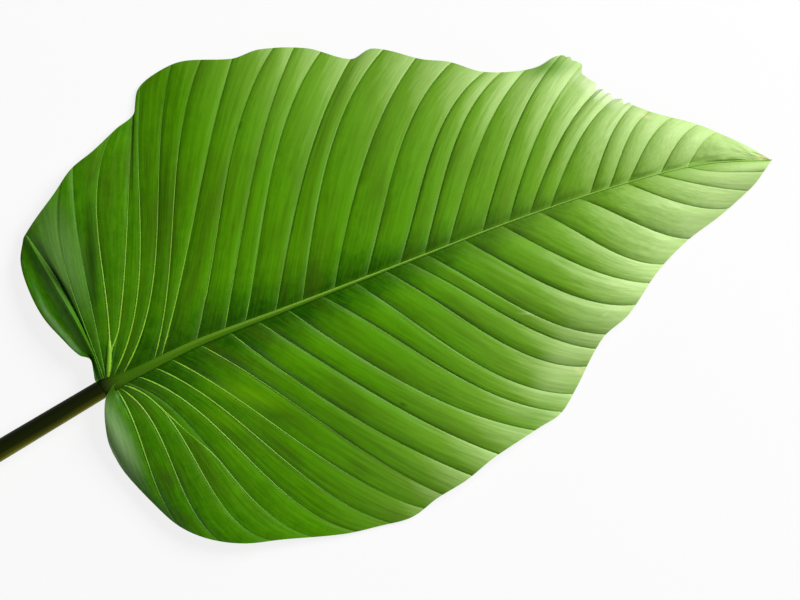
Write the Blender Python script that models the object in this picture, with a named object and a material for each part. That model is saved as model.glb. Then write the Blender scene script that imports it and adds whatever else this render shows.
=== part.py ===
"""A cut philodendron leaf with its stalk, lying on a surface with its upper face up.

The blade is one thin pleated sheet with its midrib, and the stalk is one round rod behind it. Both are worked
out in the leaf's own frame: the joint of blade and stalk at (0, 0), the tip along +X and the left half along
+Y. At the end everything moves so that the origin is at the bottom centre of the whole leaf.
"""
import math

import bmesh
import bpy
import numpy as np
from mathutils import Vector
from mathutils.geometry import interpolate_bezier

MM = 0.001

# The blade's overall sizes.
BLADE_LENGTH = 353 * MM
BLADE_WIDTH = 253 * MM
BLADE_THICKNESS = 0.7 * MM

# The midrib is widest and deepest at the stalk and thins out to the tip.
MIDRIB_WIDTH = 6 * MM
MIDRIB_TIP_WIDTH = 1 * MM
MIDRIB_DEPTH = 5 * MM
MIDRIB_TIP_DEPTH = 0.5 * MM
MIDRIB_CROWN = 1 * MM

# Heights of the blade's upper face over the surface that the leaf lies on.
HEIGHT_AT_JOINT = 9.5 * MM
HEIGHT_AT_TIP = 2.5 * MM
ARCH_HEIGHT = 10 * MM
EDGE_HEIGHT = 4 * MM
EDGE_WAVE = 3 * MM
EDGE_WAVE_PLEATS = 7.5
SHOULDER_HEIGHT = 4 * MM
DROOP_POWER = 1.7

# A pleat's height as a share of its own width, and how far from the midrib it grows to full height.
PLEAT_STEEPNESS = 0.15
PLEAT_RUN_IN = 0.12

# The stalk, from the joint to the cut end.
STALK_LENGTH = 130 * MM
STALK_JOINT_DIAMETER = 9.4 * MM
STALK_CUT_DIAMETER = 11.5 * MM
STALK_TURN = math.radians(12)
CLEARANCE = 0.3 * MM

# How far past the stalk's side the blade's base runs straight before its lobes begin.
BASE_BESIDE_STALK = 1.3 * MM

# The midrib's underside: how far aside of its middle, and how deep, as shares of its half width and depth.
KEEL_SHAPE = [(0.75, 0.7), (0, 1), (-0.75, 0.7)]

# Plain colours and finishes.
BLADE_COLOUR = (0.10, 0.27, 0.02)
BLADE_ROUGHNESS = 0.4
STALK_COLOUR = (0.03, 0.05, 0.01)
STALK_ROUGHNESS = 0.35

# How finely the solids are faceted.
ROWS = 11
EDGE_POINTS = 600
STALK_SIDES = 24
STALK_RINGS = 12
MERGE_DISTANCE = 1e-6

# The outline and the midrib's line in millimetres, drawn for a blade of this length and width.
DRAWN_LENGTH = 353
DRAWN_WIDTH = 253
MIDRIB_LINE = [(0, 0), (25, 3), (53, 6.3), (100, 8), (160, 10.5), (225, 13), (280, 12.5), (320, 9), (353, 0)]
LEFT_SINUS = [(-2, 10), (-3, 15), (-6, 20), (-11.5, 30), (-17, 43), (-19.5, 58), (-19, 73), (-14, 84)]
LEFT_MARGIN = [
    (-14, 84), (-5, 91), (8, 100), (20, 109), (33, 114), (48, 121), (58, 125), (64, 136), (76, 141),
    (90, 142), (114, 135), (128, 135), (151, 128), (170, 116), (182, 117.5), (204, 104), (216, 98.5),
    (229, 89), (243, 84), (257, 82), (269, 84), (276, 79), (283, 62), (301, 43), (324, 27), (342, 10),
    (353, 0),
]
RIGHT_SINUS = [(-2, -10), (-5, -18), (-6.5, -26), (-6.5, -32)]
RIGHT_MARGIN = [
    (-6.5, -32), (-4, -43), (4, -61), (13, -77), (25, -88), (41, -96), (60, -100.5), (90, -108), (108, -110),
    (125, -111), (140, -106), (157, -102), (173, -96), (200, -89), (212, -86), (223, -77), (244, -57),
    (260, -50), (280, -35), (299, -25), (320, -18), (338, -11), (353, 0),
]

# Each side vein: where it leaves the midrib and where it meets the margin, as distances along the leaf in
# millimetres, its heading in degrees as it leaves, and how many degrees it ends up ahead of its own chord.
LEFT_VEINS = [
    (0, -14, 100, -10), (0.8, -12, 83, -7), (1.6, 13, 88, 26), (2.4, 21, 80, 10), (3.2, 45, 62, 27),
    (4.4, 58, 58, 0), (6, 66, 42, 1), (12, 84, 40, 6), (29, 99, 55, 14), (33, 114, 55, 4), (52, 135, 56, 18),
    (67, 145, 60, 11), (78, 157, 59, 20), (94, 170, 60, 14), (108, 187, 62, 24), (125, 201, 60, 17),
    (142, 217, 54, 25), (160, 231, 52, 30), (173, 239, 55, 27), (186, 251, 55, 20), (204, 270, 55, 19),
    (218, 278, 56, 18), (229, 283, 52, 19), (240, 289, 50, 24), (261, 296, 51, 24), (271, 303, 48, 30),
    (281, 313, 44, 30), (298, 324, 44, 30), (312, 332, 44, 30),
]
RIGHT_VEINS = [
    (0, -6.5, -80, 4), (6, 13, -74, 14), (7, 30, -46, 20), (9.5, 55, -30, 37), (12, 75, -34, 27),
    (18.5, 96, -36, 23), (28, 114, -41, 18), (37, 132, -45, 14), (53, 143, -46, 8), (69, 160, -56, 9),
    (84, 176, -50, 9), (100, 197, -53, 16), (118, 213, -43, 21), (136, 221, -49, 26), (152, 232, -44, 27),
    (164, 239, -41, 18), (174, 246, -44, 22), (194, 265, -46, 26), (214, 275, -46, 18), (234, 285, -42, 25),
    (255, 301, -37, 16), (280, 325, -40, 20), (296, 337, -33, 8), (312, 347, -34, 4),
]

TIP = (BLADE_LENGTH, 0)


def smooth_line(points, count):
    """Points evenly spaced along a smooth line through the given ones (a Catmull-Rom spline)."""
    knots = [Vector(p) for p in points]
    knots = [2 * knots[0] - knots[1]] + knots + [2 * knots[-1] - knots[-2]]
    line = []
    for before, start, end, after in zip(knots, knots[1:], knots[2:], knots[3:]):
        reach = (end - start).length / 3
        leave = (end - before).normalized() * reach
        arrive = (after - start).normalized() * reach
        line.extend(interpolate_bezier(start, start + leave, end - arrive, end, 12)[:-1])
    line.append(knots[-2])
    line = np.array(line)[:, :2]
    walked = np.concatenate([[0], np.cumsum(np.linalg.norm(np.diff(line, axis=0), axis=1))])
    even = np.linspace(0, walked[-1], count)
    return np.stack([np.interp(even, walked, line[:, axis]) for axis in (0, 1)], axis=1)


def drawn_to_size(points):
    """Outline points in metres, stretched from the drawn size to the blade's own length and width."""
    return [(x * BLADE_LENGTH / DRAWN_LENGTH, y * BLADE_WIDTH / DRAWN_WIDTH) for x, y in points]


def along(stations):
    """Distances along the leaf in metres, stretched to the blade's own length."""
    return np.array(stations) * BLADE_LENGTH / DRAWN_LENGTH


def midrib_width(x):
    """The midrib's width, which narrows quickly at first and then slowly."""
    return MIDRIB_TIP_WIDTH + (MIDRIB_WIDTH - MIDRIB_TIP_WIDTH) * np.clip(1 - x / BLADE_LENGTH, 0, 1) ** 2


def midrib_depth(x):
    """How far the midrib stands out below the blade."""
    return MIDRIB_TIP_DEPTH + (MIDRIB_DEPTH - MIDRIB_TIP_DEPTH) * np.clip(1 - x / BLADE_LENGTH, 0, 1)


def midrib_side(x):
    """How far the midrib lies to the left of the straight line from the joint to the tip."""
    line = smooth_line(drawn_to_size(MIDRIB_LINE), EDGE_POINTS)
    return np.interp(x, line[:, 0], line[:, 1])


def rib_height(x):
    """Height of the blade's upper face beside the midrib: an arch between the joint and the tip."""
    share = np.clip(x / BLADE_LENGTH, 0, 1)
    return HEIGHT_AT_JOINT + (HEIGHT_AT_TIP - HEIGHT_AT_JOINT) * share + ARCH_HEIGHT * np.sin(math.pi * share)


def vein_path(start, stop, leaving, arriving):
    """A side vein from the midrib to the margin, leaving and arriving at the given headings."""
    start, stop = Vector(start), Vector(stop)
    pull = (stop - start).length / 3
    first = start + pull * Vector((math.cos(leaving), math.sin(leaving)))
    second = stop - pull * Vector((math.cos(arriving), math.sin(arriving)))
    return np.array(interpolate_bezier(start, first, second, stop, ROWS))[:, :2]


def half_in_plan(side, sinus, margin, veins):
    """One half of the blade seen from above, as columns of points that run from the midrib to the margin.

    side is 1 for the left half and -1 for the right. There is a column on each vein and one on each crest
    between two veins. The first is the edge beside the stalk, and the last is the tip.
    """
    numbers = np.arange(0, len(veins) - 0.9, 0.5)
    roots, ends, headings, leans = (np.interp(numbers, range(len(veins)), values) for values in zip(*veins))
    root_x = along(roots)
    end_x = along(ends)
    leave = np.radians(headings)
    lean = np.radians(leans)
    edge = smooth_line(drawn_to_size(margin), EDGE_POINTS)
    starts = np.stack([root_x, midrib_side(root_x) + side * midrib_width(root_x) / 2], axis=1)
    stops = np.stack([end_x, np.interp(end_x, edge[:, 0], edge[:, 1])], axis=1)
    base_end = (0, side * (STALK_JOINT_DIAMETER / 2 + BASE_BESIDE_STALK))
    stalk_side = np.vstack([starts[0], smooth_line([base_end] + drawn_to_size(sinus), ROWS - 1)])
    columns = []
    for number, start, stop, turn, ease in zip(numbers, starts, stops, leave, lean):
        chord = stop - start
        arriving = math.atan2(chord[1], chord[0]) - side * ease
        beside_stalk = stalk_side + np.linspace(0, 1, ROWS)[:, None] * (stop - stops[0])
        share = min(number, 1)
        columns.append(share * vein_path(start, stop, turn, arriving) + (1 - share) * beside_stalk)
    columns.append(np.tile(TIP, (ROWS, 1)))
    return np.append(numbers, len(veins)), np.append(root_x, BLADE_LENGTH), np.array(columns)


def half_blade(*layout):
    """The upper face of one half, with its arch, its drooping wavy margin and its pleats."""
    numbers, root_x, plan = half_in_plan(*layout)
    reach = np.linspace(0, 1, ROWS)
    across = np.gradient(plan, axis=0) / np.gradient(numbers)[:, None, None]
    outward = np.gradient(plan, axis=1)
    area = np.abs(across[..., 0] * outward[..., 1] - across[..., 1] * outward[..., 0])
    pleat_width = area / np.maximum(np.linalg.norm(outward, axis=2), 1e-9)
    crest = np.where(numbers % 1 > 0, 0.5, -0.5)
    pleat = crest[:, None] * PLEAT_STEEPNESS * pleat_width * np.minimum(reach / PLEAT_RUN_IN, 1)
    droop = reach ** DROOP_POWER
    margin_height = EDGE_HEIGHT + EDGE_WAVE * np.sin(2 * math.pi * numbers / EDGE_WAVE_PLEATS)
    shoulder = SHOULDER_HEIGHT * np.sin(math.pi * root_x / BLADE_LENGTH)
    height = rib_height(root_x)[:, None] * (1 - droop) + margin_height[:, None] * droop
    height = height + shoulder[:, None] * np.sin(math.pi * reach) + pleat
    height[-1] = HEIGHT_AT_TIP
    return np.dstack([plan, height])


def midrib_line(aside, over):
    """A line along the midrib: aside is a share of its half width, over a share of its depth or crown."""
    x = along([root for root, *_ in LEFT_VEINS])
    swell = np.where(over > 0, MIDRIB_CROWN * midrib_width(x) / MIDRIB_WIDTH, midrib_depth(x))
    under = 0 if over > 0 else BLADE_THICKNESS
    y = midrib_side(x) + aside * midrib_width(x) / 2
    line = np.stack([x, y, rib_height(x) + over * swell - under], axis=1)
    return np.vstack([line, (*TIP, HEIGHT_AT_TIP - under)])


def add_line(bm, points):
    return [bm.verts.new(point) for point in points]


def zip_lines(bm, first, second):
    """Fill the strip between two lines that run the same way, stepping along whichever is behind."""
    i = j = 0
    while i < len(first) - 1 or j < len(second) - 1:
        second_done = j == len(second) - 1
        if second_done or (i < len(first) - 1 and first[i + 1].co.x <= second[j + 1].co.x):
            bm.faces.new((first[i], second[j], first[i + 1]))
            i += 1
        else:
            bm.faces.new((first[i], second[j], second[j + 1]))
            j += 1


def bridge_lines(bm, first, second):
    """Fill the strip between two lines with the same number of points."""
    for i in range(len(first) - 1):
        bm.faces.new((first[i], first[i + 1], second[i + 1], second[i]))


def build_blade(halves):
    """The whole blade as one closed skin: both halves, their rims, and the midrib between them."""
    bm = bmesh.new()
    inner = []
    for half in halves:
        upper = [add_line(bm, column) for column in half]
        under = [add_line(bm, column - (0, 0, BLADE_THICKNESS)) for column in half]
        for face in (upper, under):
            for column, following in zip(face, face[1:]):
                bridge_lines(bm, column, following)
        bridge_lines(bm, upper[0], under[0])
        bridge_lines(bm, [column[-1] for column in upper], [column[-1] for column in under])
        inner.append(([column[0] for column in upper], [column[0] for column in under]))
    (left_upper, left_under), (right_upper, right_under) = inner
    crown = add_line(bm, midrib_line(0, 1))
    keel = [add_line(bm, midrib_line(aside, -deep)) for aside, deep in KEEL_SHAPE]
    lines = [left_upper, crown, right_upper]
    for line, following in zip(lines, lines[1:]):
        zip_lines(bm, line, following)
    lines = [left_under, *keel, right_under]
    for line, following in zip(lines, lines[1:]):
        zip_lines(bm, line, following)
    around = (left_upper, crown, right_upper, right_under, *reversed(keel), left_under)
    bm.faces.new([line[0] for line in around])
    return bm


def build_stalk(joint_height):
    """The stalk: round rings from its face beside the blade to the cut end, which rests on the surface."""
    bm = bmesh.new()
    rings = []
    for index in range(STALK_RINGS):
        share = index / (STALK_RINGS - 1)
        radius = (STALK_JOINT_DIAMETER * (1 - share) + STALK_CUT_DIAMETER * share) / 2
        height = joint_height * (1 - share) + STALK_CUT_DIAMETER / 2 * share
        turn = STALK_TURN if share > 0 else 0
        back = CLEARANCE + STALK_LENGTH * share
        centre = Vector((-back * math.cos(STALK_TURN), -back * math.sin(STALK_TURN), height))
        sideways = Vector((-math.sin(turn), math.cos(turn), 0))
        ring = []
        for side in range(STALK_SIDES):
            angle = 2 * math.pi * side / STALK_SIDES
            offset = radius * (math.cos(angle) * sideways + math.sin(angle) * Vector((0, 0, 1)))
            ring.append(bm.verts.new(centre + offset))
        rings.append(ring)
    for ring, following in zip(rings, rings[1:]):
        bridge_lines(bm, ring + ring[:1], following + following[:1])
    bm.faces.new(rings[0])
    bm.faces.new(rings[-1])
    return bm


def make_object(name, bm, shift, colour, roughness):
    bmesh.ops.remove_doubles(bm, verts=bm.verts, dist=MERGE_DISTANCE)
    bmesh.ops.recalc_face_normals(bm, faces=bm.faces)
    bmesh.ops.translate(bm, verts=bm.verts, vec=shift)
    mesh = bpy.data.meshes.new(name)
    bm.to_mesh(mesh)
    bm.free()
    material = bpy.data.materials.new(name)
    material.use_nodes = True
    shader = material.node_tree.nodes["Principled BSDF"]
    shader.inputs["Base Color"].default_value = (*colour, 1)
    shader.inputs["Roughness"].default_value = roughness
    shader.inputs["Metallic"].default_value = 0
    mesh.materials.append(material)
    thing = bpy.data.objects.new(name, mesh)
    bpy.context.scene.collection.objects.link(thing)


for old in list(bpy.data.objects):
    bpy.data.objects.remove(old)

left = half_blade(1, LEFT_SINUS, LEFT_MARGIN, LEFT_VEINS)
right = half_blade(-1, RIGHT_SINUS, RIGHT_MARGIN, RIGHT_VEINS)
blade = build_blade((left, right))

# The blade comes down until it touches the surface, and the stalk meets the middle of its midrib.
drop = min(vertex.co.z for vertex in blade.verts)
bmesh.ops.translate(blade, verts=blade.verts, vec=(0, 0, -drop))
stalk = build_stalk(HEIGHT_AT_JOINT - drop + (MIDRIB_CROWN - BLADE_THICKNESS - MIDRIB_DEPTH) / 2)

# The origin is at the bottom centre of the whole leaf.
corners = [vertex.co for bm in (blade, stalk) for vertex in bm.verts]
middle = [(min(c[axis] for c in corners) + max(c[axis] for c in corners)) / 2 for axis in (0, 1)]
shift = Vector((-middle[0], -middle[1], -min(c.z for c in corners)))
make_object("leaf_blade", blade, shift, BLADE_COLOUR, BLADE_ROUGHNESS)
make_object("leaf_stalk", stalk, shift, STALK_COLOUR, STALK_ROUGHNESS)
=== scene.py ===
import math

import bmesh
import bpy
import numpy as np
from mathutils import Matrix, Vector
from mathutils.geometry import interpolate_bezier


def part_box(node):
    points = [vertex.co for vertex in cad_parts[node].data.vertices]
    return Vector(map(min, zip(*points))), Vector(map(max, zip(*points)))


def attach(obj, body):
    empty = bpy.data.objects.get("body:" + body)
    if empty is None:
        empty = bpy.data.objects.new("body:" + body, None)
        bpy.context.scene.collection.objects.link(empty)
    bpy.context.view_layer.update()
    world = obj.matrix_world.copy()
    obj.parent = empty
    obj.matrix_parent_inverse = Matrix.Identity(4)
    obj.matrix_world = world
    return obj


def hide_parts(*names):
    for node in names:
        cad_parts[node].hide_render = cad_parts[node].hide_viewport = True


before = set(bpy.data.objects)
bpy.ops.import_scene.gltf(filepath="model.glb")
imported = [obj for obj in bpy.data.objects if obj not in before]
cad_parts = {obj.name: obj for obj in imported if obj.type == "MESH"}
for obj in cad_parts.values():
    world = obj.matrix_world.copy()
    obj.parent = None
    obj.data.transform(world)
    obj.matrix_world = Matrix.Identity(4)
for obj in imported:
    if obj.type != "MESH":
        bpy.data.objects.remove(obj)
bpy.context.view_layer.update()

# A cut philodendron leaf with its stalk, laid down with its upper face up. Everything is first worked out in
# the leaf's own frame: the joint of blade and stalk at (0, 0), the tip along +X and the left half along +Y.
MM = 0.001

# ---------------------------------------------------------------------------------------------------------
# Leaf blade. One thin sheet of living tissue that grew outwards from the midrib. Each side vein lies in a
# crease of the upper face, and the tissue between two veins bulges up into a rounded pleat.
BLADE_LENGTH = 353 * MM
BLADE_THICKNESS = 0.7 * MM
MARGIN_THICKNESS = 0.45 * MM
MIDRIB_WIDTH = 6 * MM
MIDRIB_TIP_WIDTH = 0.6 * MM
MIDRIB_NARROWS_BY = 3.3
STALK_JOINT_DIAMETER = 9.4 * MM
HEIGHT_AT_JOINT = 9.5 * MM
HEIGHT_AT_TIP = 2.5 * MM
ARCH_HEIGHT = 10 * MM
EDGE_HEIGHT = 4 * MM
EDGE_WAVE = 3 * MM
EDGE_WAVE_PLEATS = 7.5
SHOULDER_HEIGHT = 4 * MM
DROOP_POWER = 1.7
# Veins shorter than this, near the tip, end at the midrib's own height.
TIP_FLATTENS_BELOW = 35 * MM
# The blade dips beside the midrib. At the tip this share of the dip is gone.
RIB_FURROW_DEPTH = 1.2 * MM
RIB_FURROW_WIDTH = 2.2 * MM
RIB_FURROW_FADES_BY = 0.8
# The left lobe's folds: height in millimetres, the vein number that each runs along, and its half width.
LOBE_FOLDS = [(2.4, 0.86, 0.10), (-1.6, 1.02, 0.10), (-1.5, 0.45, 0.22), (1.5, 0, 0.2)]
LOBE_FOLD_POWER = 0.7
# How strong the pleats are at these distances along the leaf: low at the old base, round near the tip.
RELIEF_AT = [0, 100 * MM, 170 * MM, 260 * MM]
RELIEFS = [0.4, 1, 1, 1.2]
RIGHT_RELIEF = 0.8

# The outline and the midrib's line in millimetres.
MIDRIB_LINE = [(0, 0), (25, 3), (53, 6.3), (100, 8), (160, 10.5), (225, 13), (280, 12.5), (320, 9), (353, 0)]
LEFT_SINUS = [
    (-2, 9), (-1.2, 14.5), (-1.9, 16.5), (-6, 19.5), (-11.5, 30), (-17, 43), (-19.5, 58), (-19, 73),
    (-14, 84),
]
LEFT_MARGIN = [
    (-14, 84), (-5, 91), (8, 100), (20, 109), (33, 114), (48, 121), (58, 125), (64, 136), (76, 141),
    (90, 142), (114, 135), (128, 135), (151, 128), (170, 116), (182, 117.5), (204, 104), (216, 98.5),
    (229, 89), (243, 84), (257, 82), (269, 84), (276, 79), (283, 62), (301, 44), (324, 28.5), (342, 12),
    (353, 0),
]
RIGHT_SINUS = [(-2.8, -10.5), (-5, -18), (-6.5, -26), (-6.5, -32)]
RIGHT_MARGIN = [
    (-6.5, -32), (-4, -43), (4, -61), (13, -77), (25, -88), (41, -96), (60, -100.5), (90, -108), (108, -110),
    (125, -111), (140, -106), (157, -102), (173, -96), (200, -89), (212, -86), (223, -77), (244, -57),
    (260, -50), (280, -35), (299, -25), (320, -18), (332, -13), (341, -8.7), (347.5, -4), (353, 0),
]

# The blade's edge at the stalk, in millimetres: each lobe starts from the top of the rib. The left half is
# side 1 and the right half side -1. The right lobe's edge stands up as a low collar over most of its first
# pleat, and then curls.
LOBE_STARTS = {1: [(0.5, 2.6), (-2.4, 4)], -1: [(8.2, 1.2), (3.6, -1.4), (-0.2, -5)]}
COLLAR_HEIGHT = 3.6 * MM
COLLAR_REACH = 0.3
COLLAR_RISES_BY = 0.03
COLLAR_FALLS_POWER = 1.5
COLLAR_PLEATS = 0.9
BASE_EDGE_CURL = 3.5 * MM

# Each side vein: where it leaves the midrib and where it meets the margin, as distances along the leaf in
# millimetres, its heading in degrees as it leaves, and how many degrees it ends up ahead of its own chord.
LEFT_VEINS = [
    (0, -14, 100, -10), (0.8, -12, 83, -7), (1.6, 13, 88, 26), (2.4, 21, 80, 10), (3.2, 45, 62, 27),
    (4.4, 58, 58, 0), (6, 66, 42, 1), (12, 84, 40, 6), (29, 99, 55, 14), (33, 114, 55, 4), (52, 135, 56, 18),
    (67, 145, 60, 11), (78, 157, 59, 20), (94, 170, 60, 14), (108, 187, 62, 24), (125, 201, 60, 17),
    (142, 217, 54, 25), (160, 231, 52, 30), (173, 239, 55, 27), (186, 251, 55, 20), (204, 270, 55, 19),
    (218, 278, 56, 18), (229, 283, 52, 19), (240, 289, 50, 24), (261, 296, 51, 24), (271, 303, 48, 30),
    (281, 313, 44, 30), (298, 324, 44, 30), (312, 332, 44, 30),
]
RIGHT_VEINS = [
    (0, -6.5, -80, 4), (6, 13, -74, 14), (7, 30, -46, 20), (9.5, 55, -30, 37), (12, 75, -34, 27),
    (18.5, 96, -36, 23), (28, 114, -41, 18), (37, 132, -45, 14), (53, 143, -46, 8), (69, 160, -56, 9),
    (84, 176, -50, 9), (100, 197, -53, 16), (118, 213, -43, 21), (136, 221, -49, 26), (152, 232, -44, 27),
    (164, 239, -41, 18), (174, 246, -44, 22), (194, 265, -46, 26), (214, 275, -46, 18), (234, 285, -42, 25),
    (255, 301, -37, 16), (280, 325, -40, 20), (296, 337, -33, 8), (312, 347, -34, 4),
]

# The number that each half's veins count from, so that no two pleats of the leaf share one.
FIRST_VEIN = {1: 0, -1: 100}

# Where the points stand across one pleat, close together beside the veins, and how many run along a vein.
ACROSS_PLEAT = [0, 0.03, 0.07, 0.13, 0.22, 0.35, 0.5, 0.65, 0.78, 0.87, 0.93, 0.97]
ALONG_VEIN = 73
CLOSER_TO_MIDRIB = 1.35
EDGE_POINTS = 600
MERGE_DISTANCE = 1e-7
SHARP_FROM = math.radians(50)

# The torn left margin before the tip: slanting teeth that point towards the tip, in millimetres. Each stands
# out by a share of its depth and then ends in a short step.
TORN_FROM = 272
TOOTH_LENGTHS = (2.6, 4.6)
TOOTH_DEPTHS = (0.9, 2.4)
TOOTH_STANDS_OUT = 0.6
TOOTH_END = 0.5
TEETH = 7
TEETH_SEED = 11


def smooth_line(points, count):
    """Points evenly spaced along a smooth line through the given ones (a Catmull-Rom spline)."""
    knots = [Vector(p) for p in points]
    knots = [2 * knots[0] - knots[1]] + knots + [2 * knots[-1] - knots[-2]]
    line = []
    for before, start, end, after in zip(knots, knots[1:], knots[2:], knots[3:]):
        reach = (end - start).length / 3
        leave = (end - before).normalized() * reach
        arrive = (after - start).normalized() * reach
        line.extend(interpolate_bezier(start, start + leave, end - arrive, end, 12)[:-1])
    line.append(knots[-2])
    line = np.array(line)[:, :2]
    walked = np.concatenate([[0], np.cumsum(np.linalg.norm(np.diff(line, axis=0), axis=1))])
    even = np.linspace(0, walked[-1], count)
    return np.stack([np.interp(even, walked, line[:, axis]) for axis in (0, 1)], axis=1)


def midrib_width(x):
    """The midrib's width, which narrows quickly at first and then slowly."""
    left = np.clip(1 - x / BLADE_LENGTH, 0, 1)
    return MIDRIB_TIP_WIDTH + (MIDRIB_WIDTH - MIDRIB_TIP_WIDTH) * left ** MIDRIB_NARROWS_BY


def midrib_side(x):
    """How far the midrib lies to the left of the straight line from the joint to the tip."""
    line = smooth_line(MIDRIB_LINE, EDGE_POINTS) * MM
    return np.interp(x, line[:, 0], line[:, 1])


def rib_height(x):
    """Height of the blade's upper face beside the midrib: an arch between the joint and the tip."""
    share = np.clip(x / BLADE_LENGTH, 0, 1)
    return HEIGHT_AT_JOINT + (HEIGHT_AT_TIP - HEIGHT_AT_JOINT) * share + ARCH_HEIGHT * np.sin(math.pi * share)


def heading(angle):
    """The unit step in this direction."""
    return np.stack([np.cos(angle), np.sin(angle)], axis=-1)


def torn_margin(end_x):
    """How far the torn left margin stands out or in at these distances along the leaf."""
    random = np.random.default_rng(TEETH_SEED)
    starts = TORN_FROM + np.cumsum(random.uniform(*TOOTH_LENGTHS, TEETH))
    depths = random.uniform(*TOOTH_DEPTHS, TEETH)
    stations = [TORN_FROM, TORN_FROM + 0.1]
    offsets = [0, -depths[0]]
    for start, depth in zip(starts, depths):
        stations += [start - TOOTH_END, start]
        offsets += [depth * TOOTH_STANDS_OUT, -depth]
    return np.interp(end_x / MM, stations, offsets, left=0, right=0) * MM


def half_in_plan(side, sinus, margin, veins):
    """One half of the blade seen from above, as columns of points that run from the midrib to the margin."""
    tip = BLADE_LENGTH / MM
    veins = veins + [(tip, tip, veins[-1][2], 0)]
    numbers = [vein + part for vein in range(len(veins) - 1) for part in ACROSS_PLEAT]
    numbers = np.array(numbers + [len(veins) - 1.0])
    roots, ends, headings, leans = (np.interp(numbers, range(len(veins)), values) for values in zip(*veins))
    root_x = roots * MM
    end_x = ends * MM
    edge = smooth_line(margin, EDGE_POINTS) * MM
    starts = np.stack([root_x, midrib_side(root_x) + side * midrib_width(root_x) / 2], axis=1)
    stops = np.stack([end_x, np.interp(end_x, edge[:, 0], edge[:, 1])], axis=1)
    chords = stops - starts
    if side > 0:
        lengths = np.maximum(np.linalg.norm(chords, axis=1), 1e-9)
        stops = stops + chords / lengths[:, None] * torn_margin(end_x)[:, None]
        chords = stops - starts
    pull = np.linalg.norm(chords, axis=1)[:, None] / 3
    arriving = np.arctan2(chords[:, 1], chords[:, 0]) - side * np.radians(leans)
    first = starts + pull * heading(np.radians(headings))
    second = stops - pull * heading(arriving)
    reach = np.linspace(0, 1, ALONG_VEIN) ** CLOSER_TO_MIDRIB
    t = reach[None, :, None]
    curves = (1 - t) ** 3 * starts[:, None] + 3 * (1 - t) ** 2 * t * first[:, None]
    curves = curves + 3 * (1 - t) * t ** 2 * second[:, None] + t ** 3 * stops[:, None]

    # The edge beside the stalk starts on the rib, passes over its side, and then follows the lobe. The first
    # pleat blends into it.
    lobe = smooth_line(LOBE_STARTS[side] + sinus, EDGE_POINTS) * MM
    stations = np.linspace(0, 1, EDGE_POINTS)
    stalk_side = np.stack([np.interp(reach, stations, lobe[:, axis]) for axis in (0, 1)], axis=1)
    beside = stalk_side[None] + t * (stops - stops[0])[:, None]
    share = np.minimum(numbers, 1)[:, None, None]
    plan = share * curves + (1 - share) * beside
    plan[-1] = (BLADE_LENGTH, 0)
    return numbers, root_x, reach, plan


def bump_at(value, middle, width):
    """A rounded bump, 1 high, around this middle."""
    return np.exp(-((value - middle) / width) ** 2)


def resting_height(side, numbers, root_x, reach, plan):
    """Height of the upper face without pleats: the arch, the drooping wavy margin and the lobes' folds."""
    droop = reach[None] ** DROOP_POWER
    margin_height = EDGE_HEIGHT + EDGE_WAVE * np.sin(2 * math.pi * numbers / EDGE_WAVE_PLEATS)
    vein_lengths = np.linalg.norm(plan[:, -1] - plan[:, 0], axis=1)
    free = np.clip(vein_lengths / TIP_FLATTENS_BELOW, 0, 1)
    margin_height = free * margin_height + (1 - free) * rib_height(root_x)
    shoulder = SHOULDER_HEIGHT * np.sin(math.pi * root_x / BLADE_LENGTH)
    height = rib_height(root_x)[:, None] * (1 - droop) + margin_height[:, None] * droop
    height = height + shoulder[:, None] * np.sin(math.pi * reach)[None]
    beside_rib = np.linalg.norm(plan - plan[:, :1], axis=2)
    furrow = RIB_FURROW_DEPTH * (1 - RIB_FURROW_FADES_BY * root_x / BLADE_LENGTH)[:, None]
    height = height - furrow * bump_at(beside_rib, RIB_FURROW_WIDTH / 2, RIB_FURROW_WIDTH)
    if side > 0:
        fold = sum(rise * bump_at(numbers, middle, width) for rise, middle, width in LOBE_FOLDS)
        height = height + fold[:, None] * MM * np.sin(math.pi * reach)[None] ** LOBE_FOLD_POWER
    else:
        beside_edge = np.clip(1 - numbers / COLLAR_PLEATS, 0, 1)[:, None]
        collar = np.clip(1 - reach / COLLAR_REACH, 0, 1) ** COLLAR_FALLS_POWER
        collar = collar * np.clip(reach / COLLAR_RISES_BY, 0, 1)
        height = height + COLLAR_HEIGHT * beside_edge ** 2 * collar[None]
        height = height + BASE_EDGE_CURL * beside_edge * np.sin(math.pi * reach)[None]
    height[-1] = HEIGHT_AT_TIP
    return height


def pleat_width(numbers, plan):
    """The local distance from one side vein to the next, at every point."""
    across = np.gradient(plan, numbers, axis=0)
    outward = np.gradient(plan, axis=1)
    area = np.abs(across[..., 0] * outward[..., 1] - across[..., 1] * outward[..., 0])
    return area / np.maximum(np.linalg.norm(outward, axis=2), 1e-9)


blade_halves = {}
for side, layout in (
    (1, (LEFT_SINUS, LEFT_MARGIN, LEFT_VEINS)),
    (-1, (RIGHT_SINUS, RIGHT_MARGIN, RIGHT_VEINS)),
):
    numbers, root_x, reach, plan = half_in_plan(side, *layout)
    blade_halves[side] = {
        "numbers": numbers,
        "root_x": root_x,
        "reach": reach,
        "points": np.dstack([plan, resting_height(side, numbers, root_x, reach, plan)]),
        "spacing": pleat_width(numbers, plan),
        "relief": np.interp(root_x, RELIEF_AT, RELIEFS) * (1 if side > 0 else RIGHT_RELIEF),
    }

# The tip is the blade box's far end, and the outline's middle is the box's middle.
outline_y = np.concatenate([half["points"][..., 1].ravel() for half in blade_halves.values()])
low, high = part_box("leaf_blade")
leaf_joint = Vector((high.x - BLADE_LENGTH, (low.y + high.y - outline_y.min() - outline_y.max()) / 2, 0))


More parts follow.
